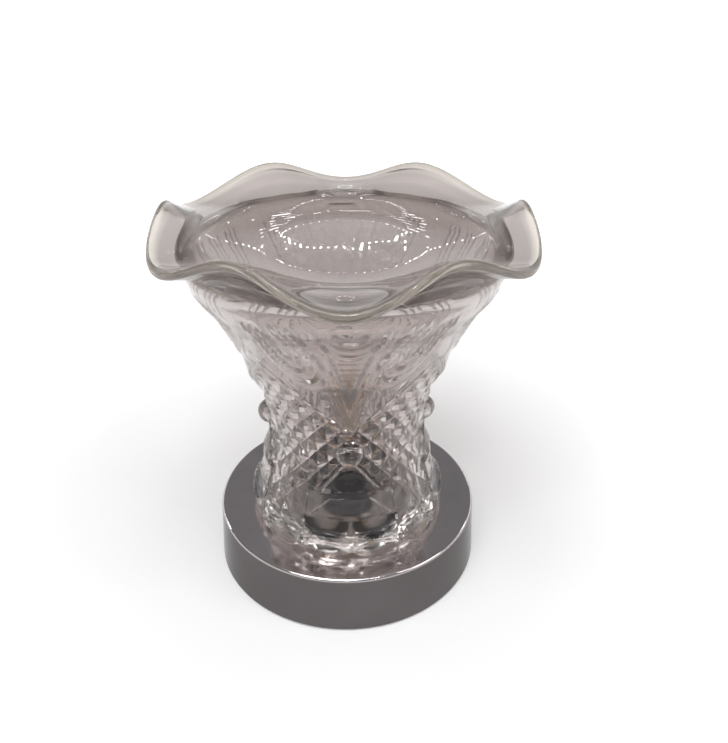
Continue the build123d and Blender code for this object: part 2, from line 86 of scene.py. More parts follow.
# Pressed pattern, counted in columns and rows of half a diamond from each bead
quarters = 4
quarter_turn = 2 * pi / quarters
pattern_turn = radians(1.8)
column_angle = 7.5
row_height = 4.4
diamond_depth = 1.0
valley_slack = 0.001
steps_per_column = 8
spin_steps = round(360 / column_angle * steps_per_column)
bead_z = foot_z + 38.4
bead_radius = 4.7
bead_circle = 28.7
bead_field = 2.0
bead_field_edge = 0.5

# Petal above each bead: V band, wedge with rungs, thumb cut with rings, and nested flutes.
# The petal's edge, the band's width and the flutes' column and start are counted in columns.
petal_row = 1.8
petal_edge = 2 / steps_per_column
petal_tip_z = foot_z + 49.5
petal_merge_z = foot_z + 70.0
petal_tip_radius = 33.2
petal_top_fade = 2.0
band_width = 0.7
band_share = 0.4
band_groove = 0.5
wedge_tip_z = bead_z + 23.0
wedge_slope = 0.30
wedge_depth = 0.7
wedge_edge = 1.8
wedge_lines = (-1.8, -4.0)
wedge_line_width = 1.2
wedge_line_share = 0.4
rung_step = 2.6
rung_width = 0.8
rung_height = 0.12
rung_start = (1.2, 2.0)
rung_top_z = pattern_top - 14.0
thumb_width = 6.8
thumb_height = 8.5
thumb_depth = 0.8
thumb_edge = 0.4
thumb_rings = (1.3, 1.65)
thumb_ring_width = 0.2
thumb_ring_height = 0.3
flute_column = 3.35
flute_z = bead_z + 48.0
flute_stretch = 1.9
flute_lean = 0.30
flute_sizes = (2.6, 5.2, 7.8)
flute_width = 1.5
flute_height = 0.8
flute_start = 1.0
flute_top_fade = 5.0

# Below each bead: a roof over a lens, a sunk panel with a wing along its top, and two scallops.
# The roof's flat, the wing's reach and fade, and the panel's angle and spread are in degrees.
outline_edge = 0.8
roof_z = bead_z - 3.0
roof_flat = 4.0
roof_slope = 0.63
roof_lift = 0.3
roof_band = 2.6
roof_groove = 0.6
roof_sink = 0.7
wing_z = bead_z - 14.8
wing_reach = 28.5
wing_width = 0.8
wing_height = 0.5
wing_fade = 2.0
lens_width = 6.8
lens_height = 7.5
lens_rise = 1.6
panel_z = bead_z - 17.2
panel_half_angle = 13.0
panel_spread = 1.75
panel_depth = 1.1
panel_edge = 0.6
scallop_z = bead_z - 25.4
scallop_width = 9.2
scallop_drop = 7.2
scallop_depth = 2.4

# Foot: the row where the lattice ends, and the arches under the glass
stem_bottom = -8.0
foot_arches = 12
foot_arch_share = 0.9
foot_arch_rise = 3.0
foot_squeeze = 7.0

# Painted shade on the glass meshes: a mark for the steep walls and edges that look dark, which darkens their
# tint, also in the lens and scallops and at the dish's edge
painted_shade_mark = "steep"
steep_angles = (radians(15), radians(38))
steep_share = 0.75
steep_wall_slack = 1.5
slope_step = 0.5
bead_share = 0.25
bead_clear = 0.3
lens_share = 0.6
lens_painted_shade = (0.05, 0.3)
scallop_painted_shade = (0.35, 0.6)
scallop_pale_edge = 0.06

# Dish, heights above the shade's mouth
dish_waves = 6
dish_radius = 62.6
dish_rim_height = 9.53
dish_wave_height = 4.4
dish_wave_reach = 2.4
dish_wave_start = 43.5
dish_floor_radius = 24.0
dish_floor_drop = 0.17
dish_curve = 0.3
dish_wall = 3.2
dish_rim_wall = 3.4
dish_edge = 1.0
dish_seat_gap = 0.3
dish_seat = (50.4, 53.9)
dish_rows = 34
dish_steps = 288
dish_lip_steps = 8
dish_crease = 60

# Surface effects, in metres
noise_reach = (0.3, 0.7)
skin_fineness = 7.0
skin_detail = 6.0
skin_depth = 0.00004
polish_line_scale = 2200.0
polish_line_depth = 0.000002
polish_haze_scale = 60.0
polish_haze = (0.94, 1.04)
polish_gloss = (0.1, 0.4)
plate_top_edge = 0.0012
plate_middle_edge = 0.001
plate_glint = (0.75, 0.75, 0.75, 1)
tint_cloud_scale = 25.0
tint_cloud = 0.15
ripple_detail = 1.5
glass_roughness = 0.015
glass_ior = 1.5
glass_glint = (0.5, 0.5, 0.5, 1)
glass_depth_color = (0.72, 0.68, 0.60, 1)
glass_depth_density = 3.0

# Reaches that lie off every piece, for glass without the painted light of a pale lip or a pale foot
past_edge = (0.2, 0.3)
below_foot = (-0.02, -0.01)

# Looks of the glass slots: tints of the body, the rim (painted shade), the pale lip or foot (painted light),
# and the cuts (painted shade), and where they begin and end
glass_looks = {
    "pressed_glass": dict(
        body=(0.66, 0.61, 0.595), rim=(0.60, 0.555, 0.54), pale=(0.86, 0.84, 0.82), cut=(0.03, 0.03, 0.032),
        rim_reach=(0.049, 0.052), foot_reach=(0.028, 0.042),
        ripple_scale=90.0, ripple_depth=0.0002, haze=0.015),
    "dish_glass": dict(
        body=(0.46, 0.415, 0.40), rim=(0.45, 0.41, 0.393), pale=(0.80, 0.765, 0.705),
        cut=(0.62, 0.575, 0.505), rim_reach=(0.038, 0.056), lip_reach=(0.0590, 0.0615),
        waves=dish_waves, wave_reach=dish_wave_reach * mm,
        ripple_scale=60.0, ripple_depth=0.0001, haze=0.10),
    "bulb_glass": dict(
        body=(0.88, 0.82, 0.74), rim=(0.85, 0.79, 0.71), pale=(0.88, 0.82, 0.74), cut=(0.88, 0.82, 0.74),
        rim_reach=(0.002, 0.006), ripple_scale=120.0, ripple_depth=0.0001),
}

# Looks of the plated slots: the wall (darker, as painted shade), the top above a height, and the middle of
# the top within a radius (brighter, as painted light)
plate_looks = {
    "chrome_plate": dict(
        wall=(0.135, 0.123, 0.124), top=(0.86, 0.80, 0.80), middle=(0.94, 0.93, 0.92),
        top_height=0.0234, middle_radius=0.0375, smooth=0.08, rough=0.17),
    "holder_plate": dict(
        wall=(0.03, 0.032, 0.04), top=(0.04, 0.042, 0.05), middle=(0.06, 0.062, 0.07),
        top_height=0.033, middle_radius=0.005, smooth=0.06, rough=0.14),
}

# Looks of the other slots: colour, and roughness from the smooth to the rough places of the skin
body_looks = {
    "tungsten": dict(color=(0.33, 0.25, 0.19), smooth=0.3, rough=0.5, metallic=1.0),
    "holder_ceramic": dict(color=(0.05, 0.052, 0.06), smooth=0.35, rough=0.6),
    "brass_fittings": dict(color=(0.72, 0.54, 0.26), smooth=0.2, rough=0.4, metallic=1.0),
    "zinc_steel": dict(color=(0.60, 0.61, 0.63), smooth=0.25, rough=0.45, metallic=1.0),
    "black_moulding": dict(color=(0.035, 0.035, 0.037), smooth=0.4, rough=0.6, scale=140.0),
    "white_moulding": dict(color=(0.80, 0.79, 0.75), smooth=0.35, rough=0.5, shade=0.93),
    "black_rubber": dict(color=(0.03, 0.03, 0.03), smooth=0.7, rough=0.9, scale=200.0),
    "board_laminate": dict(color=(0.08, 0.27, 0.12), smooth=0.3, rough=0.5, shade=0.7),
    "black_component": dict(color=(0.045, 0.045, 0.05), smooth=0.5, rough=0.7),
    "film_box": dict(color=(0.76, 0.57, 0.14), smooth=0.25, rough=0.4, shade=0.9),
    "can_sleeve": dict(color=(0.05, 0.06, 0.16), smooth=0.2, rough=0.35),
    "resistor_body": dict(color=(0.72, 0.59, 0.39), smooth=0.25, rough=0.4, shade=0.9),
    "white_lead": dict(color=(0.78, 0.78, 0.75), smooth=0.35, rough=0.5, shade=0.93),
    "brown_lead": dict(color=(0.23, 0.11, 0.055), smooth=0.35, rough=0.5),
}

# Stage, light and camera, in metres
floor_radius = 8.0
floor_sides = 96
floor_gap = 0.0002
floor_color = (0.86, 0.86, 0.86, 1)
floor_roughness = 0.9
floor_glow_color = (1, 1, 1, 1)
floor_glow_reach = (0.08, 0.5)
floor_glow_levels = (0.2, 0.9)
horizon_color = (0.92, 0.91, 0.91, 1)
overhead_color = (0.165, 0.165, 0.17, 1)
overhead_reach = (0.28, 0.5)
camera_place = Vector((0.00093, -0.22803, 0.21066))
light_bounces = 40


# Shader helpers

def add(tree, kind, inputs=None, **settings):
    """A node with its settings, and its inputs given as values or as other nodes' outputs."""
    made = tree.nodes.new(kind)
    for key, value in settings.items():
        setattr(made, key, value)
    for key, value in (inputs or {}).items():
        if isinstance(value, bpy.types.NodeSocket):
            tree.links.new(value, made.inputs[key])
        else:
            made.inputs[key].default_value = value
    return made


def new_group(name, inputs, outputs):
    """A shader node group with its named inputs and outputs, given as (name, kind)."""
    tree = bpy.data.node_groups.new(name, "ShaderNodeTree")
    for socket, kind in inputs:
        tree.interface.new_socket(socket, in_out="INPUT", socket_type="NodeSocket" + kind)
    for socket, kind in outputs:
        tree.interface.new_socket(socket, in_out="OUTPUT", socket_type="NodeSocket" + kind)
    return tree, add(tree, "NodeGroupInput").outputs, add(tree, "NodeGroupOutput").inputs


def calculate(tree, operation, first, second=0.0, clamp=False):
    made = add(tree, "ShaderNodeMath", {0: first, 1: second}, operation=operation, use_clamp=clamp)
    return made.outputs[0]


def mapped(tree, value, low, high, to_low=0.0, to_high=1.0):
    """A value stretched so that low becomes to_low and high becomes to_high, and held beyond them."""
    made = add(tree, "ShaderNodeMapRange", {"Value": value, "From Min": low, "From Max": high,
                                            "To Min": to_low, "To Max": to_high})
    return made.outputs["Result"]


def noise(tree, where, scale, detail=3.0):
    made = add(tree, "ShaderNodeTexNoise", {"Vector": where, "Scale": scale, "Detail": detail})
    return made.outputs["Fac"]


def spread(tree, value, low, high):
    """A noise value stretched to run from low to high."""
    return mapped(tree, value, *noise_reach, low, high)


def blend_colors(tree, share, first, second):
    """The first colour where the share is 0, the second where it is 1."""
    made = add(tree, "ShaderNodeMix", data_type="RGBA")
    for socket, value in (("Factor_Float", share), ("A_Color", first), ("B_Color", second)):
        target = next(i for i in made.inputs if i.identifier == socket)
        tree.links.new(value, target)
    return next(o for o in made.outputs if o.identifier == "Result_Color")


def round_axis(tree):
    """Object coordinates, their x, y and z, and the distance from the turning axis."""
    where = add(tree, "ShaderNodeTexCoord").outputs["Object"]
    parts = add(tree, "ShaderNodeSeparateXYZ", {0: where}).outputs
    flat = add(tree, "ShaderNodeCombineXYZ", {0: parts[0], 1: parts[1]}).outputs[0]
    radius = add(tree, "ShaderNodeVectorMath", {0: flat}, operation="LENGTH").outputs["Value"]
    return where, parts, radius


# Surface effects that finishes share

def make_mottle_group():
    """Uneven colour, uneven gloss and a fine skin, for moulded, cast and plain metal surfaces."""
    tree, given, made = new_group(
        "surface_mottle",
        [("Color", "Color"), ("Shade Color", "Color"), ("Scale", "Float"),
         ("Smooth", "Float"), ("Rough", "Float")],
        [("Color", "Color"), ("Roughness", "Float"), ("Height", "Float")])
    where = add(tree, "ShaderNodeTexCoord").outputs["Object"]
    cloud = spread(tree, noise(tree, where, given["Scale"]), 0.0, 1.0)
    fine_scale = calculate(tree, "MULTIPLY", given["Scale"], skin_fineness)
    skin = noise(tree, where, fine_scale, skin_detail)
    tree.links.new(blend_colors(tree, cloud, given["Color"], given["Shade Color"]), made["Color"])
    tree.links.new(spread(tree, skin, given["Smooth"], given["Rough"]), made["Roughness"])
    tree.links.new(skin, made["Height"])
    return tree


def make_polish_and_painted_light_group():
    """Fine lines round the turning axis and a little haze, as a buffing wheel leaves on plate.

    The wall is darker than the top as painted shade, and the middle of the top within a radius is brighter
    as painted light.
    """
    tree, given, made = new_group(
        "polish_lines_and_painted_light",
        [("Painted Shade Wall Color", "Color"), ("Top Color", "Color"), ("Painted Light Middle Color", "Color"), ("Top Height", "Float"),
         ("Middle Radius", "Float"), ("Smooth", "Float"), ("Rough", "Float")],
        [("Color", "Color"), ("Roughness", "Float"), ("Height", "Float")])
    where, parts, radius = round_axis(tree)
    across = add(tree, "ShaderNodeCombineXYZ", {0: radius, 1: parts[2]}).outputs[0]
    lines = noise(tree, across, polish_line_scale, detail=2.0)
    haze = noise(tree, where, polish_haze_scale, detail=4.0)
    # Painted shade on the wall below the top, and painted light in the middle of the top
    over_top = calculate(tree, "SUBTRACT", parts[2], given["Top Height"])
    at_top = mapped(tree, over_top, -plate_top_edge, 0.0)
    within = calculate(tree, "SUBTRACT", given["Middle Radius"], radius)
    in_painted_light_middle = mapped(tree, within, 0.0, plate_middle_edge)
    top = blend_colors(tree, in_painted_light_middle, given["Top Color"], given["Painted Light Middle Color"])
    plated = blend_colors(tree, at_top, given["Painted Shade Wall Color"], top)
    dull = add(tree, "ShaderNodeHueSaturation", {"Color": plated, "Value": spread(tree, haze, *polish_haze)})
    tree.links.new(dull.outputs["Color"], made["Color"])
    gloss = calculate(tree, "MULTIPLY", lines, haze)
    tree.links.new(mapped(tree, gloss, *polish_gloss, given["Smooth"], given["Rough"]), made["Roughness"])
    tree.links.new(lines, made["Height"])
    return tree


def make_ripple_and_painted_light_group():
    """Slow waves that pressing leaves in glass.

    The tint is deeper towards the rim as painted shade, paler at a waved lip and at the foot as painted
    light, and has its own painted shade in marked cuts.
    """
    tree, given, made = new_group(
        "glass_ripple_and_painted_light",
        [("Color", "Color"), ("Painted Shade Rim Color", "Color"), ("Rim From", "Float"), ("Rim To", "Float"),
         ("Painted Light Color", "Color"), ("Lip From", "Float"), ("Lip To", "Float"),
         ("Waves", "Float"), ("Wave Reach", "Float"), ("Foot From", "Float"), ("Foot To", "Float"),
         ("Painted Shade Cut Color", "Color"), ("Scale", "Float")],
        [("Color", "Color"), ("Height", "Float")])
    where, parts, radius = round_axis(tree)
    front = calculate(tree, "MULTIPLY", parts[1], -1.0)
    angle = calculate(tree, "ARCTAN2", parts[0], front)
    wave = calculate(tree, "COSINE", calculate(tree, "MULTIPLY", angle, given["Waves"]))
    reach = calculate(tree, "MULTIPLY", wave, given["Wave Reach"])
    even_radius = calculate(tree, "SUBTRACT", radius, reach)
    # Painted light: a paler tint at the waved lip and at the foot
    at_lip = mapped(tree, even_radius, given["Lip From"], given["Lip To"])
    at_foot = mapped(tree, parts[2], given["Foot From"], given["Foot To"], 1.0, 0.0)
    pale = calculate(tree, "MAXIMUM", at_lip, at_foot)
    # Painted shade: a deeper tint towards the rim, with a random cloud of tone
    at_rim = mapped(tree, radius, given["Rim From"], given["Rim To"])
    cloud = spread(tree, noise(tree, where, tint_cloud_scale, detail=2.0), -tint_cloud, tint_cloud)
    painted_rim_shade_and_cloud = calculate(tree, "ADD", at_rim, cloud, clamp=True)
    tint = blend_colors(tree, painted_rim_shade_and_cloud, given["Color"], given["Painted Shade Rim Color"])
    tint = blend_colors(tree, pale, tint, given["Painted Light Color"])
    # Painted shade: the marked cuts take their own darker tint
    steep = add(tree, "ShaderNodeAttribute", attribute_name=painted_shade_mark).outputs["Fac"]
    tree.links.new(blend_colors(tree, steep, tint, given["Painted Shade Cut Color"]), made["Color"])
    tree.links.new(noise(tree, where, given["Scale"], ripple_detail), made["Height"])
    return tree


mottle = make_mottle_group()
polish_and_painted_light = make_polish_and_painted_light_group()
ripple_and_painted_light = make_ripple_and_painted_light_group()


# Finishes

def new_finish(name, **constants):
    """A material with its Principled shader, whose plain values are set on the sockets."""
    material = bpy.data.materials.new(name)
    material.use_nodes = True
    tree = material.node_tree
    tree.nodes.clear()
    shader = add(tree, "ShaderNodeBsdfPrincipled", constants)
    end = add(tree, "ShaderNodeOutputMaterial", {"Surface": shader.outputs[0]})
    return material, tree, shader, end


def rgba(color, factor=1.0):
    return (*(min(1.0, c * factor) for c in color), 1.0)


def dress(tree, shader, effect, depth, values):
    """Feeds the shader from a shared effect that has this finish's own values; depth is its relief."""
    made = add(tree, "ShaderNodeGroup", values, node_tree=effect).outputs
    tree.links.new(made["Color"], shader.inputs["Base Color"])
    if "Roughness" in made:
        tree.links.new(made["Roughness"], shader.inputs["Roughness"])
    bump = add(tree, "ShaderNodeBump", {"Height": made["Height"], "Distance": depth, "Strength": 1.0})
    tree.links.new(bump.outputs[0], shader.inputs["Normal"])


def body_finish(name, color, smooth, rough, scale=90.0, shade=0.8, metallic=0.0):
    """Plastic, rubber, ceramic, or plain metal with a mottled skin."""
    material, tree, shader, _ = new_finish(name, Metallic=metallic)
    dress(tree, shader, mottle, skin_depth, {
        "Color": rgba(color), "Shade Color": rgba(color, shade),
        "Scale": scale, "Smooth": smooth, "Rough": rough})
    return material


def plate_finish(name, wall, top, middle, top_height, middle_radius, smooth, rough):
    """Polished plate on turned metal, with painted shade on the wall and painted light in the middle of the
    top.
    """
    material, tree, shader, _ = new_finish(name, Metallic=1.0, **{"Specular Tint": plate_glint})
    dress(tree, shader, polish_and_painted_light, polish_line_depth, {
        "Painted Shade Wall Color": rgba(wall), "Top Color": rgba(top), "Painted Light Middle Color": rgba(middle),
        "Top Height": top_height, "Middle Radius": middle_radius, "Smooth": smooth, "Rough": rough})
    return material


def glass_finish(name, body, rim, pale, cut, rim_reach, ripple_scale, ripple_depth, lip_reach=past_edge,
                 foot_reach=below_foot, waves=0, wave_reach=0.0, haze=0.0):
    """Clear glass with a faint cast, a trace of haze, and a pale shadow, whose tint carries painted shade
    and painted light; a reach is (from, to).
    """
    material, tree, shader, end = new_finish(
        name, Metallic=0.0, Roughness=glass_roughness, IOR=glass_ior,
        **{"Transmission Weight": 1.0 - haze, "Specular Tint": glass_glint})
    dress(tree, shader, ripple_and_painted_light, ripple_depth, {
        "Color": rgba(body), "Painted Shade Rim Color": rgba(rim), "Painted Light Color": rgba(pale), "Painted Shade Cut Color": rgba(cut),
        "Rim From": rim_reach[0], "Rim To": rim_reach[1], "Lip From": lip_reach[0], "Lip To": lip_reach[1],
        "Waves": waves, "Wave Reach": wave_reach, "Foot From": foot_reach[0], "Foot To": foot_reach[1],
        "Scale": ripple_scale})
    clear = add(tree, "ShaderNodeBsdfTransparent", {"Color": rgba(body)}).outputs[0]
    in_shadow = add(tree, "ShaderNodeLightPath").outputs["Is Shadow Ray"]
    mixed = add(tree, "ShaderNodeMixShader", {0: in_shadow, 1: shader.outputs[0], 2: clear})
    tree.links.new(mixed.outputs[0], end.inputs["Surface"])
    depth = add(tree, "ShaderNodeVolumeAbsorption",
                {"Color": glass_depth_color, "Density": glass_depth_density})
    tree.links.new(depth.outputs[0], end.inputs["Volume"])
    return material


def make_finishes():
    """One finish for each material slot of the record."""
    makers = ((glass_finish, glass_looks), (plate_finish, plate_looks), (body_finish, body_looks))
    return {slot: maker(slot, **look) for maker, looks in makers for slot, look in looks.items()}


# Mesh helpers

def spun(points, steps, closed):
    """A bmesh turned from a line of (radius, height) points."""
    bm = bmesh.new()
    verts = [bm.verts.new((radius, 0, z)) for radius, z in points]
    edges = [bm.edges.new(pair) for pair in zip(verts, verts[1:])]
    if closed:
        edges.append(bm.edges.new((verts[-1], verts[0])))
    bmesh.ops.spin(bm, geom=verts + edges, axis=(0, 0, 1), cent=(0, 0, 0), angle=2 * pi, steps=steps,
                   use_merge=True)
    bmesh.ops.remove_doubles(bm, verts=bm.verts, dist=weld_distance)
    bmesh.ops.recalc_face_normals(bm, faces=bm.faces)
    return bm


def new_piece(name, bm, finish, sharp_angle):
    """An object in metres from a bmesh in millimetres, smooth apart from its creases."""
    bmesh.ops.scale(bm, vec=(mm, mm, mm), verts=bm.verts)
    mesh = bpy.data.meshes.new(name)
    bm.to_mesh(mesh)
    bm.free()
    mesh.shade_smooth()
    mesh.set_sharp_from_angle(angle=radians(sharp_angle))
    mesh.materials.append(finish)
    piece = bpy.data.objects.new(name, mesh)
    bpy.context.scene.collection.objects.link(piece)
    return piece


def through(knots, x):
    """Smooth curve through (x, y) knots; past its ends the last stretch runs on."""
    last = len(knots) - 1
    k = next((i for i in range(last) if x <= knots[i + 1][0]), last - 1)

    def slope(i):
        before, after = knots[max(i - 1, 0)], knots[min(i + 1, last)]
        return (after[1] - before[1]) / (after[0] - before[0])

    (x0, y0), (x1, y1) = knots[k], knots[k + 1]
    span = x1 - x0
    t = (x - x0) / span
    return ((1 + 2 * t) * (1 - t) ** 2 * y0 + t * t * (3 - 2 * t) * y1
            + t * (1 - t) ** 2 * span * slope(k) - t * t * (1 - t) * span * slope(k + 1))


def ramp(x, low, high):
    """0 below low, 1 above high, straight between."""
    return min(1.0, max(0.0, (x - low) / (high - low)))


def ease(x, low, high):
    """0 below low, 1 above high, with a soft start and end between."""
    t = ramp(x, low, high)
    return t * t * (3 - 2 * t)


def swell(x, middle, half_width):
    """1 at the middle, falling softly to 0 at half_width either side."""
    return 1.0 - ease(abs(x - middle), 0, half_width)


def dip(x, middle, half_width):
    """1 at the middle, falling straight to 0 at half_width either side."""
    return max(0.0, 1.0 - abs(x - middle) / half_width)


# Pressed glass shade

@lru_cache(maxsize=None)
def outer_radius(z):
    return through(shade_line, z - foot_z)


@lru_cache(maxsize=None)
def inner_radius(z):
    wall = shade_wall + (rim_wall - shade_wall) * ramp(z, pattern_top - rim_wall_length, pattern_top)
    return outer_radius(z) - wall


def shade_section():
    """Closed section of the plain shade: up the outside, over the lip and down the inside."""
    row = row_height / steps_per_column
    lip_low = mouth_z - rim_round
    first = int((foot_z - bead_z) / row)
    last = int((lip_low - bead_z) / row)
    heights = [foot_z] + [bead_z + k * row for k in range(first, last + 1)]
    outside = [(outer_radius(z), z) for z in heights]
    turns = [radians(90 / rim_steps * k) for k in range(rim_steps + 1)]
    outer_round = rim_radius - rim_round
    inner_round = rim_radius - rim_wall + rim_round
    lip = [(outer_round + rim_round * cos(t), lip_low + rim_round * sin(t)) for t in turns[1:]]
    lip += [(inner_round - rim_round * sin(t), lip_low + rim_round * cos(t)) for t in turns]
    inside = [lip_low - (lip_low - foot_z) * k / inner_rows for k in range(1, inner_rows + 1)]
    return outside + lip + [(inner_radius(z), z) for z in inside]


def from_bead(angle):
    """Turn from the nearest bead."""
    return angle - quarter_turn * round(angle / quarter_turn)


def lattice(column, row):
    """Depth below the diamond points: four-sided points in a diamond net."""
    along = (column + row) / 2
    across = (column - row) / 2
    return -diamond_depth * 2 * max(abs(along - round(along)), abs(across - round(across)))


@lru_cache(maxsize=None)
def petal_lift(z):
    """How far the plain petals stand out from the shade's line."""
    share = ramp(z, petal_tip_z, petal_merge_z)
    line = petal_tip_radius + (outer_radius(petal_merge_z) - petal_tip_radius) * share
    return max(0.0, line - outer_radius(max(z, petal_tip_z)))


def band_relief(above, z):
    """V band along the lattice, a groove beside it, and the plain face of the petal."""
    on_band = ramp(above, 0, petal_edge)
    on_petal = ramp(above, band_width, band_width + petal_edge)
    level = petal_lift(z) * (band_share * on_band + (1 - band_share) * on_petal)
    return level - diamond_depth * (1 - on_band) - band_groove * dip(above, band_width, petal_edge)


def wedge_relief(side, z):
    """Sunk wedge with fine rungs across it and two lines along each of its edges."""
    within = (z - wedge_tip_z) * wedge_slope - side
    lines = sum(swell(within, line, wedge_line_width) for line in wedge_lines)
    sunk = wedge_depth * (ease(within, 0, wedge_edge) + wedge_line_share * lines)
    rungs = ramp(within, *rung_start) * dip((z - wedge_tip_z) % rung_step, rung_step / 2, rung_width)
    raised = rung_height * rungs * ramp(rung_top_z - z, 0, petal_top_fade)
    return raised - sunk * ramp(pattern_top - z, 0, petal_top_fade)


def thumb_relief(side, z):
    """Thumb cut under the rim, with raised rings round it."""
    away = hypot(side / thumb_width, (pattern_top - z) / thumb_height)
    rings = sum(swell(away, ring, thumb_ring_width) for ring in thumb_rings)
    raised = thumb_ring_height * rings * ramp(pattern_top - z, 0, petal_top_fade)
    return raised - thumb_depth * ease(1 - away, 0, thumb_edge)


def flute_relief(side, above, z):
    """Nested flutes, each a long loop that is open at the top; side counts from their middle line."""
    down = min(0.0, z - flute_z) / flute_stretch
    loop = hypot(side - flute_lean * (z - flute_z), down)
    fade = ramp(above, band_width, band_width + flute_start) * ramp(pattern_top - z, 0, flute_top_fade)
    return flute_height * fade * sum(swell(loop, size, flute_width) for size in flute_sizes)


def petal_relief(column, above, z):
    """The petal with its V band: wedge and thumb cut in the middle, and flutes each side."""
    column_width = radians(column_angle) * outer_radius(z)
    side = column * column_width
    flute_side = (column - flute_column) * column_width
    level = band_relief(above, z) + wedge_relief(side, z)
    return level + thumb_relief(side, z) + flute_relief(flute_side, above, z)


def roof_inside(turn, z):
    """Distance in millimetres inside the outline of the roof and the panel under it; turn in degrees."""
    if z > wing_z:
        return roof_z - roof_slope * max(0.0, turn - roof_flat) - z
    return (wing_reach - turn) * radians(1) * outer_radius(z)


def lens_height_share(side, z):
    """1 in the middle of the lens, 0 on its edge and outside."""
    return max(0.0, 1 - hypot(side / lens_width, (z - wing_z) / lens_height))


def roof_relief(inside, side, z):
    """Double-lined roof with a lens under it."""
    groove = roof_groove * dip(inside, roof_band, outline_edge)
    sunk = roof_sink * ramp(inside, roof_band, roof_band + outline_edge)
    return lens_rise * lens_height_share(side, z) ** 0.5 - groove - sunk


def scallop_reach(side, z):
    """0 at the top middle of a scallop, 1 on its edge."""
    return hypot((side - scallop_width) / scallop_width, max(0.0, scallop_z - z) / scallop_drop)


def panel_relief(turn, side, z):
    """Sunk panel with slanting sides, a thin wing along its top and two scallops below."""
    wing = wing_height * dip(z, wing_z - wing_width, wing_width)
    wing *= ramp(turn, panel_half_angle - wing_fade, panel_half_angle)
    spread_angle = panel_half_angle + panel_spread * (panel_z - z)
    within = (spread_angle - turn) * radians(1) * outer_radius(z)
    above_scallops = ramp(z, scallop_z, scallop_z + panel_edge)
    panel = panel_depth * ramp(within, 0, outline_edge) * ramp(panel_z - z, 0, panel_edge) * above_scallops
    scallop = scallop_depth * (1 - above_scallops) * max(0.0, 1 - scallop_reach(side, z)) ** 0.5
    return wing - panel - scallop


def relief(column, row, z):
    """Height of the pressed pattern over the plain line; column counts from the nearest bead."""
    above = row - petal_row - column
    if above > 0:
        return petal_relief(column, above, z)
    turn = column * column_angle
    inside = roof_inside(turn, z)
    if inside > 0:
        side = radians(turn) * outer_radius(z)
        level = (diamond_depth + roof_lift) * ramp(inside, 0, outline_edge) - diamond_depth
        return level + (roof_relief(inside, side, z) if z > wing_z else panel_relief(turn, side, z))
    if row < stem_bottom:
        return 0.0
    net = ramp(column + abs(row), bead_field - bead_field_edge, bead_field)
    return (lattice(column, row) + diamond_depth) * net - diamond_depth


def onto_bead(arc, up):
    """Radius, turn and height of a point that lies on a bead, or None beside it."""
    foot = (bead_radius ** 2 - (outer_radius(bead_z) - bead_circle) ** 2) ** 0.5
    reach = hypot(arc, up)
    if reach >= foot:
        return None
    tilt = asin(foot / bead_radius) * reach / foot
    spread_out = bead_radius * sin(tilt) / reach if reach > 0 else 0.0
    out = bead_circle + bead_radius * cos(tilt)
    return hypot(out, arc * spread_out), atan2(arc * spread_out, out), bead_z + up * spread_out


def foot_arch(angle):
    """Height of the arches cut into the foot, at an angle round the shade."""
    turn = angle / (2 * pi) * foot_arches % 1.0
    return foot_arch_rise * max(0.0, 1 - (2 * abs(turn - 0.5) / foot_arch_share) ** 2)


def press(vert):
    """Moves one point of the plain shade to its place in the pressed pattern."""
    x, y, z = vert.co
    radius = hypot(x, y)
    angle = atan2(x, -y)
    share = ramp(radius, inner_radius(z), outer_radius(z) - outside_slack)
    turn = from_bead(angle)
    middle = angle - turn
    on_bead = onto_bead(turn * outer_radius(bead_z), z - bead_z) if share == 1.0 else None
    if on_bead:
        radius, turn, z = on_bead
    elif z < pattern_top:
        column = abs(turn) / radians(column_angle)
        radius += share * relief(column, (z - bead_z) / row_height, z)
    height = z - foot_z
    if height < foot_squeeze:
        z += foot_arch(angle) * (1 - height / foot_squeeze)
    placed = middle + turn + pattern_turn
    vert.co = (radius * sin(placed), -radius * cos(placed), z)


def crease_lattice(bm):
    """Splits the net's faces along its valleys, so that each diamond point has four clean facets."""
    valley = []
    for vert in bm.verts:
        x, y, z = vert.co
        if hypot(x, y) < outer_radius(z) - outside_slack:
            continue
        column = atan2(x, -y) % quarter_turn / radians(column_angle)
        row = (z - bead_z) / row_height
        along, across = (column + row) / 2, (column - row) / 2
        offs = (abs(abs(along - round(along)) - 0.5), abs(abs(across - round(across)) - 0.5))
        if min(offs) < valley_slack:
            valley.append(vert)
    bmesh.ops.connect_verts(bm, verts=valley)


def painted_cut_shade(angle, z):
    """How much painted shade darkens the glass in the lens and on the curved walls of the scallops."""
    side = abs(from_bead(angle - pattern_turn)) * outer_radius(z)
    if z < scallop_z:
        away = scallop_reach(side, z)
        return ramp(away, *scallop_painted_shade) * ramp(1 - away, 0, scallop_pale_edge)
    return lens_share * ramp(lens_height_share(side, z), *lens_painted_shade) if z > panel_z else 0.0


def mark_painted_shade(bm):
    """Marks the steep walls of the pressed pattern, where thick glass looks dark, with painted shade that
    darkens their tint.
    """
    layer = bm.verts.layers.float.new(painted_shade_mark)
    bm.normal_update()
    for vert in bm.verts:
        x, y, z = vert.co
        radius = hypot(x, y)
        in_pattern = foot_z + foot_arch_rise <= z <= pattern_top
        on_inside = radius < (inner_radius(z) + outer_radius(z)) / 2 - steep_wall_slack
        if on_inside or not in_pattern:
            continue
        slope = (outer_radius(z + slope_step) - outer_radius(z - slope_step)) / (2 * slope_step)
        plain = Vector((x / radius, y / radius, -slope))
        on_bead = abs(z - bead_z) < bead_radius and radius > outer_radius(z) + bead_clear
        steep = (bead_share if on_bead else steep_share) * ramp(plain.angle(vert.normal), *steep_angles)
        vert[layer] = max(steep, painted_cut_shade(atan2(x, -y), z))


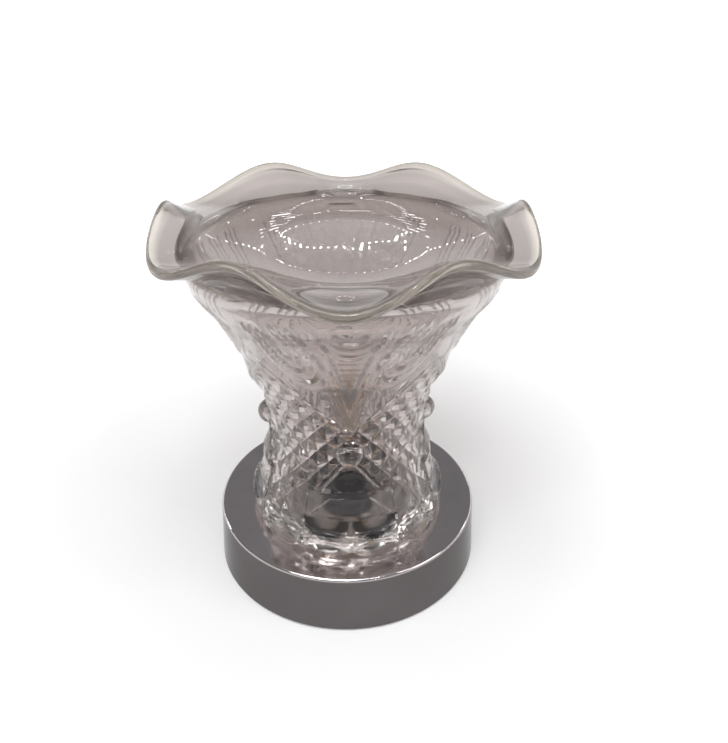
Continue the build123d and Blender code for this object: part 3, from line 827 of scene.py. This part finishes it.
def make_shade(finish):
    bm = spun(shade_section(), spin_steps, closed=True)
    crease_lattice(bm)
    for vert in bm.verts:
        press(vert)
    mark_painted_shade(bm)
    piece = new_piece("pressed_shade", bm, finish, shade_crease)
    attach(piece, "shade")
    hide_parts("glass_shade")


# Ruffled dish

def dish_face(radius):
    """Height of the upper face before it is ruffled."""
    share = ramp(radius, dish_floor_radius, dish_radius - dish_rim_wall / 2)
    rise = share ** 2 * (1 + dish_curve - dish_curve * share)
    return mouth_z - dish_floor_drop + (dish_rim_height + dish_floor_drop) * rise


def dish_section():
    """From the middle of the floor out to the rim, round the lip and back under."""
    lip = dish_rim_wall / 2
    span = dish_radius - lip - dish_floor_radius
    radii = [0.0, dish_floor_radius / 2]
    radii += [dish_floor_radius + span * k / dish_rows for k in range(dish_rows + 1)]
    top = [(radius, dish_face(radius)) for radius in radii]
    edge_radius, edge_z = top[-1]
    thicker = dish_rim_wall - dish_wall
    under = [(radius, z - dish_wall - thicker * ramp(radius, dish_wave_start, edge_radius))
             for radius, z in top]
    turns = [radians(90 - 180 * k / dish_lip_steps) for k in range(1, dish_lip_steps)]
    edge = [(edge_radius + lip * cos(t), edge_z - lip + lip * sin(t)) for t in turns]
    return top + edge + under[::-1]


def ruffle(vert):
    """Waves the outer part of the dish, low and wide where a wave hangs, with a seat over the shade."""
    x, y, z = vert.co
    radius = hypot(x, y)
    if radius < dish_wave_start:
        return
    below = z < dish_face(radius) - dish_wall / 2
    angle = atan2(x, -y)
    wave = ease(radius, dish_wave_start, dish_radius) * cos(dish_waves * angle)
    wide = (radius + dish_wave_reach * wave) / radius
    z -= dish_wave_height * wave
    if below and dish_seat[0] < radius < dish_seat[1]:
        z = min(z, mouth_z + dish_seat_gap)
    vert.co = (x * wide, y * wide, z)


def make_dish(finish):
    bm = spun(dish_section(), dish_steps, closed=False)
    # Painted shade: the mark gives the very edge of the dish the cut tint, darker than the painted light of
    # the lip
    layer = bm.verts.layers.float.new(painted_shade_mark)
    for vert in bm.verts:
        vert[layer] = ramp(hypot(vert.co.x, vert.co.y), dish_radius - dish_edge, dish_radius)
        ruffle(vert)
    piece = new_piece("ruffled_dish", bm, finish, dish_crease)
    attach(piece, "dish")
    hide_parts("glass_dish")


# Stage, light and camera

def shows_background(tree):
    """1 for rays that show the background: camera, glossy and transmission rays."""
    path = add(tree, "ShaderNodeLightPath").outputs
    total = calculate(tree, "ADD", path["Is Camera Ray"], path["Is Glossy Ray"])
    return calculate(tree, "ADD", total, path["Is Transmission Ray"], clamp=True)


def make_floor():
    """Pale paper that glows towards white away from the warmer, and keeps its shadow."""
    bm = bmesh.new()
    bmesh.ops.create_circle(bm, cap_ends=True, radius=floor_radius, segments=floor_sides)
    bmesh.ops.translate(bm, verts=bm.verts, vec=(0, 0, -floor_gap))
    mesh = bpy.data.meshes.new("floor")
    bm.to_mesh(mesh)
    bm.free()
    material, tree, shader, _ = new_finish(
        "floor_paper", Roughness=floor_roughness,
        **{"Base Color": floor_color, "Emission Color": floor_glow_color})
    where = add(tree, "ShaderNodeTexCoord").outputs["Object"]
    away = add(tree, "ShaderNodeVectorMath", {0: where}, operation="LENGTH").outputs["Value"]
    level = mapped(tree, away, *floor_glow_reach, *floor_glow_levels)
    glow = calculate(tree, "MULTIPLY", shows_background(tree), level)
    tree.links.new(glow, shader.inputs["Emission Strength"])
    mesh.materials.append(material)
    floor = bpy.data.objects.new("floor", mesh)
    bpy.context.scene.collection.objects.link(floor)


def make_world():
    """Soft room light, pale at the horizon and greyer overhead."""
    world = bpy.data.worlds.new("studio")
    world.use_nodes = True
    tree = world.node_tree
    tree.nodes.clear()
    up = add(tree, "ShaderNodeTexCoord").outputs["Generated"]
    height = add(tree, "ShaderNodeSeparateXYZ", {0: up}).outputs[2]
    share = mapped(tree, height, *overhead_reach)
    pale = add(tree, "ShaderNodeRGB").outputs[0]
    pale.default_value = horizon_color
    grey = add(tree, "ShaderNodeRGB").outputs[0]
    grey.default_value = overhead_color
    sky = add(tree, "ShaderNodeBackground", {"Color": blend_colors(tree, share, pale, grey)})
    add(tree, "ShaderNodeOutputWorld", {"Surface": sky.outputs[0]})
    bpy.context.scene.world = world


def make_lamp(name, place, size, power):
    """A square softbox that faces the middle of the warmer."""
    data = bpy.data.lights.new(name, "AREA")
    data.size = size
    data.energy = power
    lamp = bpy.data.objects.new(name, data)
    bpy.context.scene.collection.objects.link(lamp)
    lamp.location = place
    middle = (cad_box[0] + cad_box[1]) / 2
    lamp.rotation_euler = (lamp.location - middle).to_track_quat("Z", "Y").to_euler()


def mirrored(x, y, distance):
    """Where a lamp hangs that the dish mirrors to the camera at a point of its face, in millimetres."""
    radius = hypot(x, y)
    reach = 0.05
    point, inner, outer = (dish_face(max(0.0, radius + off)) for off in (0.0, -reach, reach))
    tilt = (outer - inner) / (2 * reach)
    normal = Vector((-x / radius * tilt, -y / radius * tilt, 1.0)).normalized()
    spot = Vector((x, y, point)) * mm
    return spot + distance * (spot - camera_place).normalized().reflect(normal)


def make_softboxes():
    """The large lamps: one in front and above, and a weaker one at the right."""
    make_lamp("key", place=(-0.2, -0.5, 1.1), size=0.7, power=7.0)
    make_lamp("fill", place=(0.8, -0.3, 0.7), size=0.5, power=1.8)


def make_sparks():
    """Small lamps in an arc overhead, for glints on the glass."""
    sparks = 5
    circle = 0.45
    height = 0.75
    first, step = -60, 30
    for k in range(sparks):
        turn = radians(first + step * k)
        make_lamp(f"spark_{k}", (circle * sin(turn), -circle * cos(turn), height), size=0.04, power=0.25)


def make_edge_lamps():
    """A small lamp at each side, a little behind the warmer."""
    for side in (-1, 1):
        make_lamp(f"edge_{side}", (0.5 * side, 0.2, 0.3), size=0.08, power=0.1)


def make_lamp_loop():
    """Tiny lamps whose mirror images make a dotted loop in the dish; the loop's sizes are in millimetres."""
    lamps = 60
    half_width = 25
    half_depth = 23
    middle_y = 20
    for k in range(lamps):
        turn = 2 * pi * k / lamps
        place = mirrored(half_width * sin(turn), middle_y + half_depth * cos(turn), distance=0.9)
        make_lamp(f"loop_{k}", place, size=0.003, power=0.0006)


def make_camera():
    """The photograph's viewpoint, from a perspective fit of its 728 x 743 pixels."""
    image_height = 743
    focal_pixels = 719.0
    data = bpy.data.cameras.new("camera")
    data.sensor_width = 36.0
    data.lens = focal_pixels / image_height * data.sensor_width
    data.clip_start = 0.01
    camera = bpy.data.objects.new("camera", data)
    bpy.context.scene.collection.objects.link(camera)
    pitch, yaw, roll = radians(30.22), radians(1.38), radians(0.27)
    aim = Matrix.Rotation(-yaw, 4, "Z") @ Matrix.Rotation(pi / 2 - pitch, 4, "X")
    camera.matrix_world = Matrix.Translation(camera_place) @ aim @ Matrix.Rotation(roll, 4, "Z")
    bpy.context.scene.camera = camera


def main():
    finishes = make_finishes()
    for part in frame["record"]["subparts"]:
        mesh = frame["nodes"][part["node"]].data
        mesh.materials.clear()
        mesh.materials.append(finishes[part["material_slot"]])
    make_shade(finishes["pressed_glass"])
    make_dish(finishes["dish_glass"])
    make_floor()
    make_world()
    make_softboxes()
    make_sparks()
    make_edge_lamps()
    make_lamp_loop()
    make_camera()
    scene = bpy.context.scene
    scene.view_settings.view_transform = "Standard"
    scene.cycles.max_bounces = light_bounces
    scene.cycles.transmission_bounces = light_bounces
    scene.cycles.glossy_bounces = light_bounces


main()
